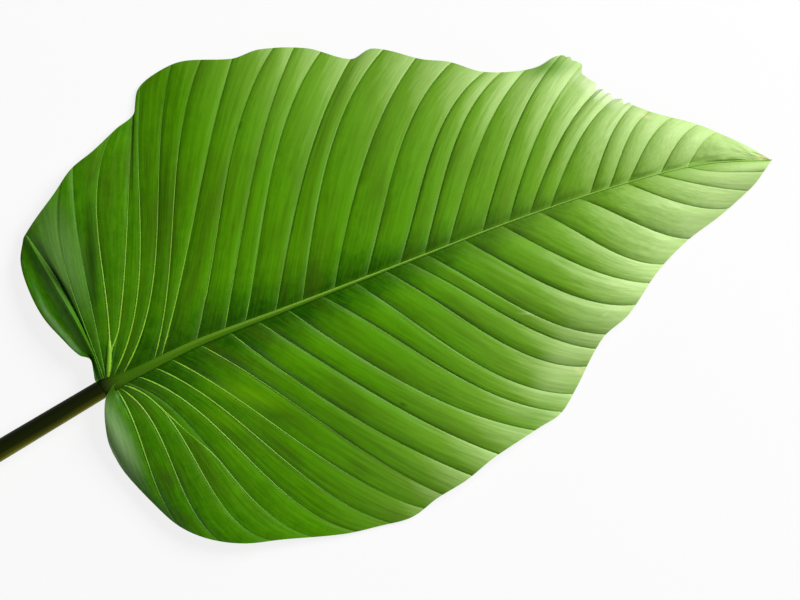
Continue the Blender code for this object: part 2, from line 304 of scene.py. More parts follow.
def flat_sheet():
    """Both halves as one open sheet, joined under the midrib, with what each point knows of its place."""
    points, vein, reach_at, spacing, relief, faces, inner = [], [], [], [], [], [], []
    for side, half in blade_halves.items():
        columns, rows = half["spacing"].shape
        base = sum(len(part) for part in points)
        index = base + np.arange(columns * rows).reshape(columns, rows)
        points.append(half["points"].reshape(-1, 3))
        vein.append(np.repeat(half["numbers"], rows) + FIRST_VEIN[side])
        reach_at.append(np.tile(half["reach"], columns))
        spacing.append(half["spacing"].ravel())
        relief.append(np.repeat(half["relief"], rows))
        corners = (index[:-1, :-1], index[1:, :-1], index[1:, 1:], index[:-1, 1:])
        quads = np.stack([corner.ravel() for corner in corners], axis=1)
        faces += (quads if side > 0 else quads[:, ::-1]).tolist()
        inner.append(index[:, 0])
    points = np.concatenate(points)
    left, right = inner
    i = j = 0
    while i < len(left) - 1 or j < len(right) - 1:
        right_done = j == len(right) - 1
        if right_done or (i < len(left) - 1 and points[left[i + 1], 0] <= points[right[j + 1], 0]):
            faces.append([left[i], right[j], left[i + 1]])
            i += 1
        else:
            faces.append([left[i], right[j], right[j + 1]])
            j += 1
    mesh = bpy.data.meshes.new("leaf_blade_sheet")
    mesh.from_pydata((points + np.array(leaf_joint)).tolist(), [], faces)
    for name, values in (("vein", vein), ("reach", reach_at), ("spacing", spacing), ("relief", relief)):
        layer = mesh.attributes.new(name, "FLOAT", "POINT")
        layer.data.foreach_set("value", np.concatenate(values).astype(np.float32))
    uv = mesh.uv_layers.new(name="along_veins")
    corner_points = np.zeros(len(mesh.loops), np.int32)
    mesh.loops.foreach_get("vertex_index", corner_points)
    flat = np.stack([np.concatenate(vein), np.concatenate(reach_at)], axis=1)[corner_points]
    uv.data.foreach_set("uv", flat.astype(np.float32).ravel())
    bm = bmesh.new()
    bm.from_mesh(mesh)
    bmesh.ops.remove_doubles(bm, verts=bm.verts, dist=MERGE_DISTANCE)
    bm.to_mesh(mesh)
    bm.free()
    return mesh


def add_node(tree, kind, inputs=None, **settings):
    """Add one node with its settings, and set or link its inputs by name or number."""
    node = tree.nodes.new(kind)
    for name, value in settings.items():
        setattr(node, name, value)
    for key, value in (inputs or {}).items():
        if isinstance(value, bpy.types.Node):
            value = next(output for output in value.outputs if output.enabled)
        if isinstance(value, bpy.types.NodeSocket):
            tree.links.new(value, node.inputs[key])
        else:
            node.inputs[key].default_value = value
    return node


def start_tree(name, inputs, output=("Geometry", "NodeSocketGeometry")):
    """An empty Geometry Nodes tree with named inputs, and its two end nodes."""
    tree = bpy.data.node_groups.new(name, "GeometryNodeTree")
    for label, kind in inputs:
        tree.interface.new_socket(name=label, in_out="INPUT", socket_type=kind)
    tree.interface.new_socket(name=output[0], in_out="OUTPUT", socket_type=output[1])
    return tree, add_node(tree, "NodeGroupInput"), add_node(tree, "NodeGroupOutput")


def grow(name, mesh, tree, values):
    """Run a tree on a mesh with these input values, and return the result as a plain piece."""
    piece = bpy.data.objects.new(name, mesh)
    bpy.context.scene.collection.objects.link(piece)
    modifier = piece.modifiers.new(tree.name, "NODES")
    modifier.node_group = tree
    for item in tree.interface.items_tree:
        if item.in_out == "INPUT" and item.name in values:
            modifier[item.identifier] = values[item.name]
    bpy.context.view_layer.update()
    grown = piece.evaluated_get(bpy.context.evaluated_depsgraph_get())
    result = bpy.data.meshes.new_from_object(grown)
    piece.modifiers.clear()
    piece.data = result
    return piece


# How the tissue lifts off the veins: a rounded dome across each pleat that starts small beside the midrib, a
# narrow groove over each vein, and a slight buckling.
LIFT_INPUTS = [
    ("Pleat steepness", "NodeSocketFloat"), ("Crease sharpness", "NodeSocketFloat"),
    ("Pleat run-in", "NodeSocketFloat"), ("Groove depth", "NodeSocketFloat"),
    ("Groove width", "NodeSocketFloat"), ("Buckle height", "NodeSocketFloat"),
    ("Buckle size", "NodeSocketFloat"), ("Seed", "NodeSocketInt"),
]
# Each pleat's own strength lies between these two. Its side towards the tip falls more gently by this share.
PLEAT_STRENGTHS = (0.55, 1.75)
TIP_SIDE_GENTLER_BY = 0.42
LIFT_VALUES = {
    "Pleat steepness": 0.075,
    "Crease sharpness": 3.6,
    "Pleat run-in": 0.10,
    "Groove depth": 0.16 * MM,
    "Groove width": 0.8 * MM,
    "Buckle height": 0.9 * MM,
    "Buckle size": 28 * MM,
    "Seed": 4,
}
lift, given, result = start_tree("pleat lift", LIFT_INPUTS, ("Lift", "NodeSocketFloat"))
named = {}
for attribute in ("vein", "reach", "spacing", "relief"):
    named[attribute] = add_node(
        lift, "GeometryNodeInputNamedAttribute", {"Name": attribute}, data_type="FLOAT"
    )
across = add_node(lift, "ShaderNodeMath", {0: named["vein"]}, operation="FRACT")
number = add_node(lift, "ShaderNodeMath", {0: named["vein"]}, operation="FLOOR")
centred = add_node(lift, "ShaderNodeMath", {0: across, 1: 2, 2: -1}, operation="MULTIPLY_ADD")
aside = add_node(lift, "ShaderNodeMath", {0: centred}, operation="ABSOLUTE")
rounder = add_node(lift, "ShaderNodeMath", {0: named["relief"], 1: 1}, operation="MAXIMUM")
rounder = add_node(lift, "ShaderNodeMath", {0: rounder, 1: 2}, operation="POWER")
sharp = add_node(
    lift, "ShaderNodeMath", {0: given.outputs["Crease sharpness"], 1: rounder}, operation="DIVIDE"
)
falling = add_node(lift, "ShaderNodeMath", {0: centred, 1: 0}, operation="GREATER_THAN")
gentler = add_node(
    lift, "ShaderNodeMath", {0: falling, 1: -TIP_SIDE_GENTLER_BY, 2: 1}, operation="MULTIPLY_ADD"
)
sharp = add_node(lift, "ShaderNodeMath", {0: sharp, 1: gentler}, operation="MULTIPLY")
rounded = add_node(lift, "ShaderNodeMath", {0: aside, 1: sharp}, operation="POWER")
dome = add_node(lift, "ShaderNodeMath", {0: 1, 1: rounded}, operation="SUBTRACT")
vary = add_node(
    lift, "FunctionNodeRandomValue",
    {2: PLEAT_STRENGTHS[0], 3: PLEAT_STRENGTHS[1], "ID": number, "Seed": given.outputs["Seed"]},
    data_type="FLOAT",
)
varied = add_node(lift, "ShaderNodeMath", {0: dome, 1: vary.outputs[1], 2: -0.5}, operation="MULTIPLY_ADD")
run_in = add_node(
    lift, "ShaderNodeMapRange",
    {"Value": named["reach"], "From Max": given.outputs["Pleat run-in"]}, interpolation_type="SMOOTHSTEP",
)
steep = given.outputs["Pleat steepness"]
for factor in (named["spacing"], run_in, named["relief"]):
    steep = add_node(lift, "ShaderNodeMath", {0: steep, 1: factor}, operation="MULTIPLY")
pleat = add_node(lift, "ShaderNodeMath", {0: varied, 1: steep}, operation="MULTIPLY")
to_vein = add_node(lift, "ShaderNodeMath", {0: 1, 1: aside}, operation="SUBTRACT")
to_vein = add_node(lift, "ShaderNodeMath", {0: to_vein, 1: named["spacing"]}, operation="MULTIPLY")
groove = add_node(
    lift, "ShaderNodeMapRange",
    {"Value": to_vein, "From Max": given.outputs["Groove width"], "To Min": -1, "To Max": 0},
    interpolation_type="SMOOTHSTEP",
)
for factor in (given.outputs["Groove depth"], run_in, named["relief"]):
    groove = add_node(lift, "ShaderNodeMath", {0: groove, 1: factor}, operation="MULTIPLY")
place = add_node(lift, "GeometryNodeInputPosition")
fineness = add_node(lift, "ShaderNodeMath", {0: 1, 1: given.outputs["Buckle size"]}, operation="DIVIDE")
buckle = add_node(
    lift, "ShaderNodeTexNoise",
    {"Vector": place, "W": given.outputs["Seed"], "Scale": fineness, "Detail": 2}, noise_dimensions="4D",
)
buckle = add_node(lift, "ShaderNodeMath", {0: buckle, 1: 0.5}, operation="SUBTRACT")
for factor in (given.outputs["Buckle height"], run_in):
    buckle = add_node(lift, "ShaderNodeMath", {0: buckle, 1: factor}, operation="MULTIPLY")
total = add_node(lift, "ShaderNodeMath", {0: pleat, 1: groove}, operation="ADD")
total = add_node(lift, "ShaderNodeMath", {0: total, 1: buckle}, operation="ADD")
lift.links.new(total.outputs[0], result.inputs["Lift"])


def lift_points(tree, given):
    """Move the incoming points up by the pleat lift, with the lift's inputs taken from the tree's own."""
    raised = add_node(tree, "GeometryNodeGroup", node_tree=lift)
    for label, kind in LIFT_INPUTS:
        tree.links.new(given.outputs[label], raised.inputs[label])
    upwards = add_node(tree, "ShaderNodeCombineXYZ", {"Z": raised})
    return add_node(tree, "GeometryNodeSetPosition", {"Geometry": given.outputs["Sheet"], "Offset": upwards})


# The blade's tree lifts the sheet into its pleats, and gives it a thickness that thins out towards the margin
# from this share of the way.
MARGIN_THINS_FROM = 0.7
blade_tree, given, result = start_tree("leaf blade", [
    ("Sheet", "NodeSocketGeometry"), *LIFT_INPUTS, ("Thickness", "NodeSocketFloat"),
    ("Margin thickness", "NodeSocketFloat"), ("Skin", "NodeSocketMaterial"),
])
upper = lift_points(blade_tree, given)
reach_here = add_node(blade_tree, "GeometryNodeInputNamedAttribute", {"Name": "reach"}, data_type="FLOAT")
thickness = add_node(blade_tree, "ShaderNodeMapRange", {
    "Value": reach_here, "From Min": MARGIN_THINS_FROM, "To Min": given.outputs["Thickness"],
    "To Max": given.outputs["Margin thickness"],
})
down = add_node(blade_tree, "ShaderNodeMath", {0: thickness, 1: -1}, operation="MULTIPLY")
down = add_node(blade_tree, "ShaderNodeCombineXYZ", {"Z": down})
wall = add_node(
    blade_tree, "GeometryNodeExtrudeMesh", {"Mesh": upper, "Offset": down, "Individual": False}, mode="FACES"
)
marked = add_node(
    blade_tree, "GeometryNodeStoreNamedAttribute",
    {"Geometry": wall.outputs["Mesh"], "Name": "underside", "Value": wall.outputs["Top"]},
    data_type="FLOAT", domain="FACE",
)
turned = add_node(blade_tree, "GeometryNodeFlipFaces", {"Mesh": marked})
both = add_node(blade_tree, "GeometryNodeJoinGeometry")
blade_tree.links.new(turned.outputs[0], both.inputs[0])
blade_tree.links.new(upper.outputs[0], both.inputs[0])
closed = add_node(blade_tree, "GeometryNodeMergeByDistance", {"Geometry": both, "Distance": 1e-6})
smooth = add_node(blade_tree, "GeometryNodeSetShadeSmooth", {"Geometry": closed})
real = add_node(blade_tree, "GeometryNodeRealizeInstances", {"Geometry": smooth})
skinned = add_node(
    blade_tree, "GeometryNodeSetMaterial", {"Geometry": real, "Material": given.outputs["Skin"]}
)
blade_tree.links.new(skinned.outputs[0], result.inputs[0])


def linear(hex_colour):
    """An sRGB hex colour as linear red, green, blue and alpha."""
    values = [int(hex_colour[start:start + 2], 16) / 255 for start in (0, 2, 4)]
    return (*(v / 12.92 if v <= 0.04045 else ((v + 0.055) / 1.055) ** 2.4 for v in values), 1)


def start_material(name):
    """A new material with an empty node tree."""
    material = bpy.data.materials.new(name)
    material.use_nodes = True
    material.node_tree.nodes.clear()
    return material, material.node_tree


def set_ramp(node, stops):
    """Give a colour ramp these stops: a place from 0 to 1 and a hex colour."""
    ramp = node.color_ramp
    while len(ramp.elements) < len(stops):
        ramp.elements.new(1)
    for element, (place, colour) in zip(ramp.elements, stops):
        element.position = place
        element.color = linear(colour)


# Living leaf skin: a thin clear wax over green tissue. The wax gives a soft satin gloss on slopes that face
# the light, and the tissue lets some light through. It is deep green by the midrib and at the old base, and
# turns yellow-green and pale towards the margins and the tip, partly its own colour and partly a painted wash
# of bright light, with fine streaks along the veins. Painted sheen and painted shade also run across the
# pleats and along the veins.

# The skin's greens: deep to clear, and then paler in two steps.
DEEP_GREENS = [(0.0, "215601"), (0.5, "438202"), (1.0, "589a04")]
YELLOW_GREEN = "7cab34"
PALE_GREEN = "bbda8a"
DULL_OLIVE = "47620c"
UNDERSIDE_GREEN = "7f9c5c"
WAX_IOR = 1.45
LIGHT_THROUGH = 0.18

# Where the greens change, as distances along the leaf or as shares of the way out to the margin.
DEEP_BY_MIDRIB_TO = 0.22
OLD_GREEN_TO = 95 * MM
PALE_FROM = 125 * MM
PALE_TO = 345 * MM
PALE_POWER = 1.85
# How far the painted wash of bright light leans towards the right half.
WASH_LEANS_RIGHT_BY = 0.25
PALE_MARGIN_FROM = 80 * MM
PALE_MARGIN_TO = 140 * MM
PALE_MARGIN_AMOUNT = 0.45
# Painted sheen across each pleat: where it is even, and how much of it is gone at the tip.
SHEEN_MIDDLE = 0.45
SHEEN_GOES_AT_TIP = 0.75

# Pattern sizes. Streaks, folds and dull patches follow the pleats: how many across one and along a vein.
PATCH_SIZE = 25 * MM
MOTTLE_SIZE = 5 * MM
GRAIN_SIZE = 0.6 * MM
STREAKS = (16, 12)
FOLDS = (4, 3)
FOLD_STEEPNESS = 0.055
DULL_PATCHES = (1.3, 3)

# The lines along each vein: how wide, how strong and what green; two are painted sheen and painted shade.
SHEEN_SIDE = (3 * MM, 0.25, "7fa45a")
SHADED_SIDE = (1.2 * MM, 0.8, "1f4a02")
PALE_LINE = (0.45 * MM, 0.65, "9cc95a")
LINE_RUN = 22 * MM
LINES_GO_WITH_PALE = 1.4

# Marks on the skin: place and half sizes in millimetres along and across, turn in degrees, colour, strength.
SKIN_MARKS = [
    # Painted glow of light shining through the tissue.
    (68, -27, 30, 8, -34, "74b304", 0.6),
    (50, -33, 26, 7, -38, "64a204", 0.5),
    (30, -30, 20, 6, -45, "4f9a04", 0.5),
    (16, -53, 9, 5, -70, "3f5212", 0.6),
    # Painted sheen on the right lobe's first pleat and on the left lobe.
    (-1, -26, 36, 9, -84, "93b877", 0.85),
    (2, 70, 44, 15, 88, "6f9a4c", 0.75),
    # Painted shadow along the left lobe's folds.
    (15, 62, 48, 5, 74, "24400a", 0.85),
    (-4, 57, 22, 3.5, 107, "0f2c06", 0.9),
    (107, 102, 4, 2, 60, "2f6a08", 0.5),
    (139, -56, 3, 1.5, -40, "2c5a08", 0.6),
    (212, -33, 7, 1, -20, "b9d48c", 0.5),
    (249, -46, 6, 1, 20, "c4dc98", 0.5),
    # A pale patch: partly the skin's own colour and partly a painted wash of light.
    (218, -66, 32, 15, 50, "bfdc8e", 0.5),
    (200, -83, 32, 12, 20, "63a020", 0.4),
    (262, 80, 20, 9, -10, "5f9428", 0.8),
    (284, 59, 24, 7, -50, "d8eab8", 0.85),
    (228, -69, 5, 2, -40, "dcdf9a", 0.7),
    (300, 41, 5, 2, -40, "e2dfa6", 0.7),
    (349, 2, 6, 3, -20, "e0dc9c", 0.8),
]

skin, tree = start_material("waxy_philodendron_leaf_skin")
coords = add_node(tree, "ShaderNodeTexCoord")
object_coords = coords.outputs["Object"]
on_leaf = add_node(tree, "ShaderNodeMapping", {"Vector": object_coords, "Location": -leaf_joint})
leaf_xyz = add_node(tree, "ShaderNodeSeparateXYZ", {"Vector": on_leaf})
reach_at = add_node(tree, "ShaderNodeAttribute", attribute_name="reach").outputs["Fac"]
underside = add_node(tree, "ShaderNodeAttribute", attribute_name="underside").outputs["Fac"]
vein_at = add_node(tree, "ShaderNodeAttribute", attribute_name="vein").outputs["Fac"]
spacing_at = add_node(tree, "ShaderNodeAttribute", attribute_name="spacing").outputs["Fac"]
relief_at = add_node(tree, "ShaderNodeAttribute", attribute_name="relief").outputs["Fac"]
past_vein = add_node(tree, "ShaderNodeMath", {0: vein_at}, operation="FRACT")
deepness = add_node(
    tree, "ShaderNodeMapRange", {"Value": reach_at, "From Max": DEEP_BY_MIDRIB_TO, "To Min": 0.08},
    interpolation_type="SMOOTHSTEP",
)
# Paler towards tip and margins: partly the skin's own colour, partly a painted wash of light leaning right.
right_half = add_node(tree, "ShaderNodeMath", {0: leaf_xyz.outputs["Y"], 1: 0}, operation="MINIMUM")
tip_way = add_node(
    tree, "ShaderNodeMath", {0: right_half, 1: -WASH_LEANS_RIGHT_BY, 2: leaf_xyz.outputs["X"]},
    operation="MULTIPLY_ADD",
)
to_tip = add_node(tree, "ShaderNodeMapRange", {"Value": tip_way, "From Min": PALE_FROM, "From Max": PALE_TO})
to_tip = add_node(tree, "ShaderNodeMath", {0: to_tip, 1: PALE_POWER}, operation="POWER")
margin_part = add_node(tree, "ShaderNodeMapRange", {
    "Value": leaf_xyz.outputs["X"], "From Min": PALE_MARGIN_FROM, "From Max": PALE_MARGIN_TO,
    "To Max": PALE_MARGIN_AMOUNT,
})
at_margin = add_node(tree, "ShaderNodeMath", {0: reach_at, 1: 3}, operation="POWER")
pale_and_painted_light = add_node(tree, "ShaderNodeMath", {0: at_margin, 1: margin_part, 2: to_tip}, operation="MULTIPLY_ADD")
patches = add_node(
    tree, "ShaderNodeTexNoise", {"Vector": object_coords, "Scale": 1 / PATCH_SIZE, "Detail": 2}
)
patches = add_node(
    tree, "ShaderNodeMath", {0: patches.outputs["Fac"], 1: 0.5, 2: -0.25}, operation="MULTIPLY_ADD"
)
near_stalk = add_node(tree, "ShaderNodeMapRange", {
    "Value": leaf_xyz.outputs["X"], "From Max": OLD_GREEN_TO, "To Min": 0.35, "To Max": 1,
})
deepness = add_node(
    tree, "ShaderNodeMath", {0: deepness, 1: near_stalk, 2: patches}, operation="MULTIPLY_ADD"
)
mottle = add_node(
    tree, "ShaderNodeTexNoise",
    {"Vector": object_coords, "Scale": 1 / MOTTLE_SIZE, "Detail": 3, "Roughness": 0.6, "Distortion": 0.6},
)
mottle = add_node(
    tree, "ShaderNodeMath", {0: mottle.outputs["Fac"], 1: 0.6, 2: -0.42}, operation="MULTIPLY_ADD"
)
# Painted shade across each pleat: a darker green just past a vein, lighter towards the next one.
mottle = add_node(tree, "ShaderNodeMath", {0: past_vein, 1: 0.24, 2: mottle}, operation="MULTIPLY_ADD")
deepness = add_node(tree, "ShaderNodeMath", {0: deepness, 1: mottle}, operation="ADD")
in_pleats = {}
for name, (per_pleat, per_vein), detail in (
    ("streaks", STREAKS, 4), ("folds", FOLDS, 1), ("dull", DULL_PATCHES, 3),
):
    along_pleats = add_node(
        tree, "ShaderNodeMapping", {"Vector": coords.outputs["UV"], "Scale": (per_pleat, per_vein, 1)}
    )
    in_pleats[name] = add_node(
        tree, "ShaderNodeTexNoise", {"Vector": along_pleats, "Scale": 1, "Detail": detail}
    ).outputs["Fac"]
streak_shade = add_node(
    tree, "ShaderNodeMath", {0: in_pleats["streaks"], 1: 0.7, 2: -0.35}, operation="MULTIPLY_ADD"
)
deepness = add_node(tree, "ShaderNodeMath", {0: deepness, 1: streak_shade}, operation="ADD")
greens = add_node(tree, "ShaderNodeValToRGB", {"Fac": deepness})
set_ramp(greens, DEEP_GREENS)
pale_streaks = add_node(
    tree, "ShaderNodeMapRange", {"Value": in_pleats["streaks"], "To Min": 0.7, "To Max": 1.3}
)
pale_and_painted_light = add_node(tree, "ShaderNodeMath", {0: pale_and_painted_light, 1: pale_streaks}, operation="MULTIPLY")
# Painted sheen across each pleat: a clear green where it rises from a vein, and paler towards the next one.
by_midrib = add_node(
    tree, "ShaderNodeMapRange", {"Value": reach_at, "From Max": 0.35, "To Min": 0.75, "To Max": 1}
)
pale_and_painted_light = add_node(tree, "ShaderNodeMath", {0: pale_and_painted_light, 1: by_midrib}, operation="MULTIPLY")
pleat_sheen_range = add_node(
    tree, "ShaderNodeMath", {0: to_tip, 1: -SHEEN_GOES_AT_TIP, 2: 1}, operation="MULTIPLY_ADD"
)
pleat_sheen = add_node(tree, "ShaderNodeMath", {0: past_vein, 1: SHEEN_MIDDLE}, operation="SUBTRACT")
pleat_sheen = add_node(tree, "ShaderNodeMath", {0: pleat_sheen, 1: pleat_sheen_range, 2: 1}, operation="MULTIPLY_ADD")
pale_and_painted_light = add_node(tree, "ShaderNodeMath", {0: pale_and_painted_light, 1: pleat_sheen}, operation="MULTIPLY", use_clamp=True)
dull = add_node(tree, "ShaderNodeMapRange", {
    "Value": in_pleats["dull"], "From Min": 0.42, "From Max": 0.72, "To Max": 0.5,
}, interpolation_type="SMOOTHSTEP")
dulled = add_node(
    tree, "ShaderNodeMix", {0: dull, 6: greens.outputs["Color"], 7: linear(DULL_OLIVE)}, data_type="RGBA"
)
colour = dulled.outputs[2]
for start, end, shade in ((0, 0.5, YELLOW_GREEN), (0.35, 1, PALE_GREEN)):
    step = add_node(tree, "ShaderNodeMapRange", {"Value": pale_and_painted_light, "From Min": start, "From Max": end})
    paled = add_node(tree, "ShaderNodeMix", {0: step, 6: colour, 7: linear(shade)}, data_type="RGBA")
    colour = paled.outputs[2]

# Along every vein: a thin pale line, a dark line of painted shade on its tip side, and a greyer band of
# painted sheen on its base side. They are weak where the pleats are low and where the skin is pale.
green_left = add_node(
    tree, "ShaderNodeMath", {0: pale_and_painted_light, 1: -LINES_GO_WITH_PALE, 2: 1}, operation="MULTIPLY_ADD", use_clamp=True
)
line_strength = add_node(tree, "ShaderNodeMath", {0: relief_at, 1: green_left}, operation="MULTIPLY")
comes_and_goes = add_node(
    tree, "ShaderNodeTexNoise", {"Vector": object_coords, "Scale": 1 / LINE_RUN, "Detail": 1}
)
comes_and_goes = add_node(tree, "ShaderNodeMapRange", {
    "Value": comes_and_goes.outputs["Fac"], "From Min": 0.3, "From Max": 0.7, "To Min": 0.15, "To Max": 1,
})
line_strength = add_node(tree, "ShaderNodeMath", {0: line_strength, 1: comes_and_goes}, operation="MULTIPLY")
before_vein = add_node(tree, "ShaderNodeMath", {0: 1, 1: past_vein}, operation="SUBTRACT")
off_vein = add_node(tree, "ShaderNodeMath", {0: past_vein, 1: before_vein}, operation="MINIMUM")
for share, (width, strength, shade) in (
    (before_vein, SHEEN_SIDE), (past_vein, SHADED_SIDE), (off_vein, PALE_LINE),
):
    distance = add_node(tree, "ShaderNodeMath", {0: share, 1: spacing_at}, operation="MULTIPLY")
    at_vein = add_node(tree, "ShaderNodeMath", {0: line_strength, 1: strength}, operation="MULTIPLY")
    amount = add_node(tree, "ShaderNodeMapRange", {
        "Value": distance, "From Max": width, "To Min": at_vein, "To Max": 0,
    }, interpolation_type="SMOOTHSTEP")
    lined = add_node(tree, "ShaderNodeMix", {0: amount, 6: colour, 7: linear(shade)}, data_type="RGBA")
    colour = lined.outputs[2]

# The marks, among them painted glow, sheen, shadow and a wash of light, and the duller underside.
for x, y, along, across, turn, shade, strength in SKIN_MARKS:
    spot = add_node(tree, "ShaderNodeMapping", {
        "Vector": object_coords,
        "Location": leaf_joint + Vector((x * MM, y * MM, 0)),
        "Rotation": (0, 0, math.radians(turn)),
        "Scale": (along * MM, across * MM, 1),
    }, vector_type="TEXTURE")
    fade = add_node(tree, "ShaderNodeTexGradient", {"Vector": spot}, gradient_type="SPHERICAL")
    amount = add_node(
        tree, "ShaderNodeMapRange", {"Value": fade.outputs["Fac"], "To Max": strength},
        interpolation_type="SMOOTHSTEP",
    )
    mixed = add_node(tree, "ShaderNodeMix", {0: amount, 6: colour, 7: linear(shade)}, data_type="RGBA")
    colour = mixed.outputs[2]
under = add_node(
    tree, "ShaderNodeMix", {0: underside, 6: colour, 7: linear(UNDERSIDE_GREEN)}, data_type="RGBA"
)
colour = under.outputs[2]

# The wax: a little rougher on some streaks and on the underside, over fine grain, folds and streaks.
gloss = add_node(tree, "ShaderNodeMapRange", {
    "Value": in_pleats["streaks"], "From Min": 0.3, "From Max": 0.7, "To Min": 0.3, "To Max": 0.38,
})
gloss = add_node(tree, "ShaderNodeMath", {0: underside, 1: 0.2, 2: gloss}, operation="MULTIPLY_ADD")
grain = add_node(tree, "ShaderNodeTexNoise", {"Vector": object_coords, "Scale": 1 / GRAIN_SIZE, "Detail": 2})
grain_bump = add_node(
    tree, "ShaderNodeBump", {"Height": grain.outputs["Fac"], "Strength": 0.12, "Distance": 0.1 * MM}
)
# The folds are higher where the pleat is wider.
folds = add_node(tree, "ShaderNodeMath", {0: in_pleats["folds"], 1: spacing_at}, operation="MULTIPLY")
fold_bump = add_node(tree, "ShaderNodeBump", {
    "Height": folds, "Strength": 0.8, "Distance": FOLD_STEEPNESS, "Normal": grain_bump,
})
streak_bump = add_node(tree, "ShaderNodeBump", {
    "Height": in_pleats["streaks"], "Strength": 0.25, "Distance": 0.25 * MM, "Normal": fold_bump,
})
wax = add_node(tree, "ShaderNodeBsdfPrincipled", {
    "Base Color": colour, "Roughness": gloss, "IOR": WAX_IOR, "Specular IOR Level": 0.15,
    "Normal": streak_bump,
})
glow = add_node(tree, "ShaderNodeHueSaturation", {"Color": colour, "Saturation": 1.1, "Value": 1.5})
through = add_node(tree, "ShaderNodeBsdfTranslucent", {"Color": glow, "Normal": streak_bump})
tissue = add_node(tree, "ShaderNodeMixShader", {0: LIGHT_THROUGH, 1: wax, 2: through})
add_node(tree, "ShaderNodeOutputMaterial", {"Surface": tissue})

blade = grow("leaf_blade_skin", flat_sheet(), blade_tree, {
    **LIFT_VALUES, "Thickness": BLADE_THICKNESS, "Margin thickness": MARGIN_THICKNESS, "Skin": skin,
})
blade.data.set_sharp_from_angle(angle=SHARP_FROM)

# The whole leaf comes down until the blade's lowest point touches the surface.
drop = Vector((0, 0, -min(vertex.co.z for vertex in blade.data.vertices)))
blade.data.transform(Matrix.Translation(drop))
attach(blade, "root")
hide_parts("leaf_blade")

# ---------------------------------------------------------------------------------------------------------
# Midrib. The stalk's tissue runs on into the blade as one tapering rib, low and rounded on the upper face and
# a deep keel below. It starts as round as the stalk, and is only a fine line at the tip.
MIDRIB_DEPTH = 5 * MM
MIDRIB_TIP_DEPTH = 0.5 * MM
MIDRIB_CROWN = 1 * MM
MIDRIB_SETTLES_OVER = 16 * MM
RINGS_CLOSER_TO_STALK = 1.3
MIDRIB_RINGS = 150
MIDRIB_SIDES = 24
STALK_JOINT_HEIGHT = HEIGHT_AT_JOINT + (MIDRIB_CROWN - BLADE_THICKNESS - MIDRIB_DEPTH) / 2


def loft(name, rings, attributes):
    """A closed skin through rings of points, with one value per point for each named attribute."""
    count, sides = rings.shape[:2]
    index = np.arange(count * sides).reshape(count, sides)
    following = np.roll(index, -1, axis=1)
    corners = (index[:-1], following[:-1], following[1:], index[1:])
    faces = np.stack([corner.ravel() for corner in corners], axis=1).tolist()
    faces += [index[0].tolist(), index[-1].tolist()]
    mesh = bpy.data.meshes.new(name)
    mesh.from_pydata(rings.reshape(-1, 3).tolist(), [], faces)
    for label, values in attributes.items():
        layer = mesh.attributes.new(label, "FLOAT", "POINT")
        layer.data.foreach_set("value", np.broadcast_to(values, (count, sides)).astype(np.float32).ravel())
    bm = bmesh.new()
    bm.from_mesh(mesh)
    bmesh.ops.remove_doubles(bm, verts=bm.verts, dist=MERGE_DISTANCE)
    bmesh.ops.recalc_face_normals(bm, faces=bm.faces)
    bm.to_mesh(mesh)
    bm.free()
    mesh.shade_smooth()
    mesh.set_sharp_from_angle(angle=SHARP_FROM)
    piece = bpy.data.objects.new(name, mesh)
    bpy.context.scene.collection.objects.link(piece)
    return piece


x = np.linspace(0, 1, MIDRIB_RINGS) ** RINGS_CLOSER_TO_STALK * BLADE_LENGTH
around = np.linspace(0, 2 * math.pi, MIDRIB_SIDES, endpoint=False)
taper = 1 - x / BLADE_LENGTH
crown = MIDRIB_CROWN * midrib_width(x) / MIDRIB_WIDTH
keel = BLADE_THICKNESS + MIDRIB_TIP_DEPTH + (MIDRIB_DEPTH - MIDRIB_TIP_DEPTH) * taper
swell = np.where(np.sin(around) > 0, crown[:, None], keel[:, None])
rib_aside = np.cos(around) * midrib_width(x)[:, None] / 2
rib_up = rib_height(x)[:, None] + swell * np.sin(around)
settled = np.clip(x / MIDRIB_SETTLES_OVER, 0, 1)[:, None]
settled = settled ** 2 * (3 - 2 * settled)
rib_aside = settled * rib_aside + (1 - settled) * np.cos(around) * STALK_JOINT_DIAMETER / 2
rib_up = settled * rib_up + (1 - settled) * (STALK_JOINT_HEIGHT + np.sin(around) * STALK_JOINT_DIAMETER / 2)
turn = np.arctan(np.gradient(midrib_side(x), x))[:, None]
rings = np.stack([
    x[:, None] - rib_aside * np.sin(turn), midrib_side(x)[:, None] + rib_aside * np.cos(turn), rib_up,
], axis=2)
rings = rings + np.array(leaf_joint + drop)

# Midrib skin: the same waxed tissue, but solid and finely ribbed, so it is a smoother green than the blade.
# It is a dark olive at the stalk and pale green at the tip, with a painted yellow-green highlight on the
# left side of its crest.
RIB_GREENS = [
    (0.0, "141c02"), (0.01, "2a4004"), (0.032, "3e6805"), (0.12, "467606"), (0.4, "407606"), (0.7, "558a26"),
    (1.0, "7fad54"),
]
RIB_LIT_CREST_GREEN = "94bc3c"
FIBRES_AROUND = 9
FIBRES_ALONG = 12
rib_skin, tree = start_material("waxy_olive_midrib_skin")
coords = add_node(tree, "ShaderNodeTexCoord")
along = add_node(tree, "ShaderNodeAttribute", attribute_name="along").outputs["Fac"]
aside = add_node(tree, "ShaderNodeAttribute", attribute_name="aside").outputs["Fac"]
fibre_coords = add_node(tree, "ShaderNodeCombineXYZ", {"X": aside, "Y": along})
fibre_coords = add_node(
    tree, "ShaderNodeMapping", {"Vector": fibre_coords, "Scale": (FIBRES_AROUND, FIBRES_ALONG, 1)}
)
fibres = add_node(tree, "ShaderNodeTexNoise", {"Vector": fibre_coords, "Scale": 1, "Detail": 4})
shade = add_node(
    tree, "ShaderNodeMath", {0: fibres.outputs["Fac"], 1: 0.04, 2: -0.02}, operation="MULTIPLY_ADD"
)
